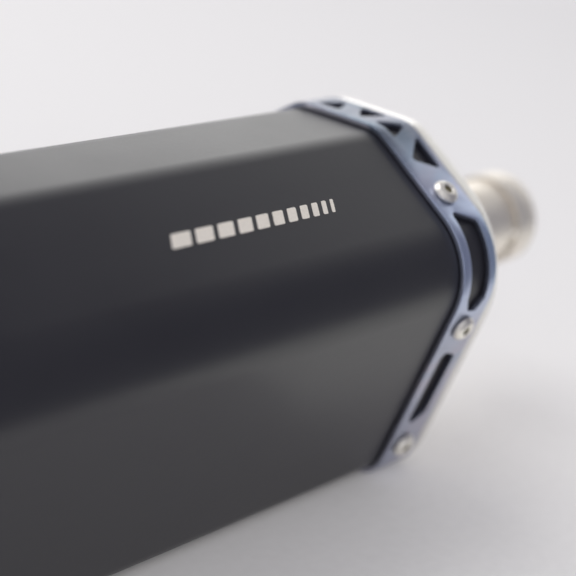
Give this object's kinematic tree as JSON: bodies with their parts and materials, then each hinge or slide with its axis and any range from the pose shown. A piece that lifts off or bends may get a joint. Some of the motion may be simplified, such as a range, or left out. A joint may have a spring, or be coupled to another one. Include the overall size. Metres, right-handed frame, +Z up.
{
  "type": "exhaust muffler",
  "caption": "Motorcycle exhaust muffler: black six-sided sleeve between windowed blue end rings, tapered inlet pipe with a clamp, removable outlet insert, side hanger.",
  "frame": {"origin": "middle of the flat underside of the inlet-side end ring, on the plane the muffler stands on", "axes": "+X along the gas path towards the inlet pipe, +Y towards the hanger side (the machine), +Z up, away from the flat underside"},
  "size_m": [0.3849, 0.1186, 0.129],
  "materials": {
    "sleeve_black": "matte black ceramic coat",
    "ring_blue": "blue-violet anodised, satin",
    "cap_steel": "bright brushed",
    "pipe_steel": "satin, faint straw heat tint",
    "screw_steel": "satin stainless",
    "rubber": "matte",
    "glass_wool": "fibrous",
    "steel_wool": "fibrous, dull"
  },
  "bodies": {
    "root": {"core_support_ring": "pipe_steel", "core_tube": "pipe_steel", "glass_wool_packing": "glass_wool", "hanger_backing_plate": "cap_steel", "hanger_bolt_1": "screw_steel", "hanger_bolt_2": "screw_steel", "hanger_bracket": "cap_steel", "hanger_bush": "rubber", "hanger_spacer": "screw_steel", "inlet_end_cap": "cap_steel", "inlet_pipe": "pipe_steel", "inlet_ring": "ring_blue", "inlet_screw_1": "screw_steel", "inlet_screw_2": "screw_steel", "inlet_screw_3": "screw_steel", "inlet_screw_4": "screw_steel", "inlet_screw_5": "screw_steel", "inlet_screw_6": "screw_steel", "inlet_seal": "rubber", "insert_screw_nut": "screw_steel", "outer_sleeve": "sleeve_black", "outlet_end_cap": "cap_steel", "outlet_ring": "ring_blue", "outlet_screw_1": "screw_steel", "outlet_screw_2": "screw_steel", "outlet_screw_3": "screw_steel", "outlet_screw_4": "screw_steel", "outlet_screw_5": "screw_steel", "outlet_screw_6": "screw_steel", "outlet_seal": "rubber", "outlet_tube": "pipe_steel", "steel_wool_wrap": "steel_wool"},
    "insert": {"db_killer_insert": "cap_steel"},
    "retaining_screw": {"insert_screw": "screw_steel"},
    "clamp": {"clamp_band": "cap_steel", "clamp_bolt": "screw_steel", "clamp_nut": "screw_steel"}
  },
  "joints": [
    {"name": "insert_slide", "type": "slide", "parent": "root", "child": "insert", "axis": [-1, 0, 0], "range_m": [0, 0.08]},
    {"name": "screw_back_out", "type": "slide", "parent": "root", "child": "retaining_screw", "axis": [0, 0, -1], "range_m": [0, 0.012]},
    {"name": "clamp_turn", "type": "hinge", "parent": "root", "child": "clamp", "pos_m": [0.08005, 0, 0.0579], "axis": [1, 0, 0], "continuous": true}
  ]
}
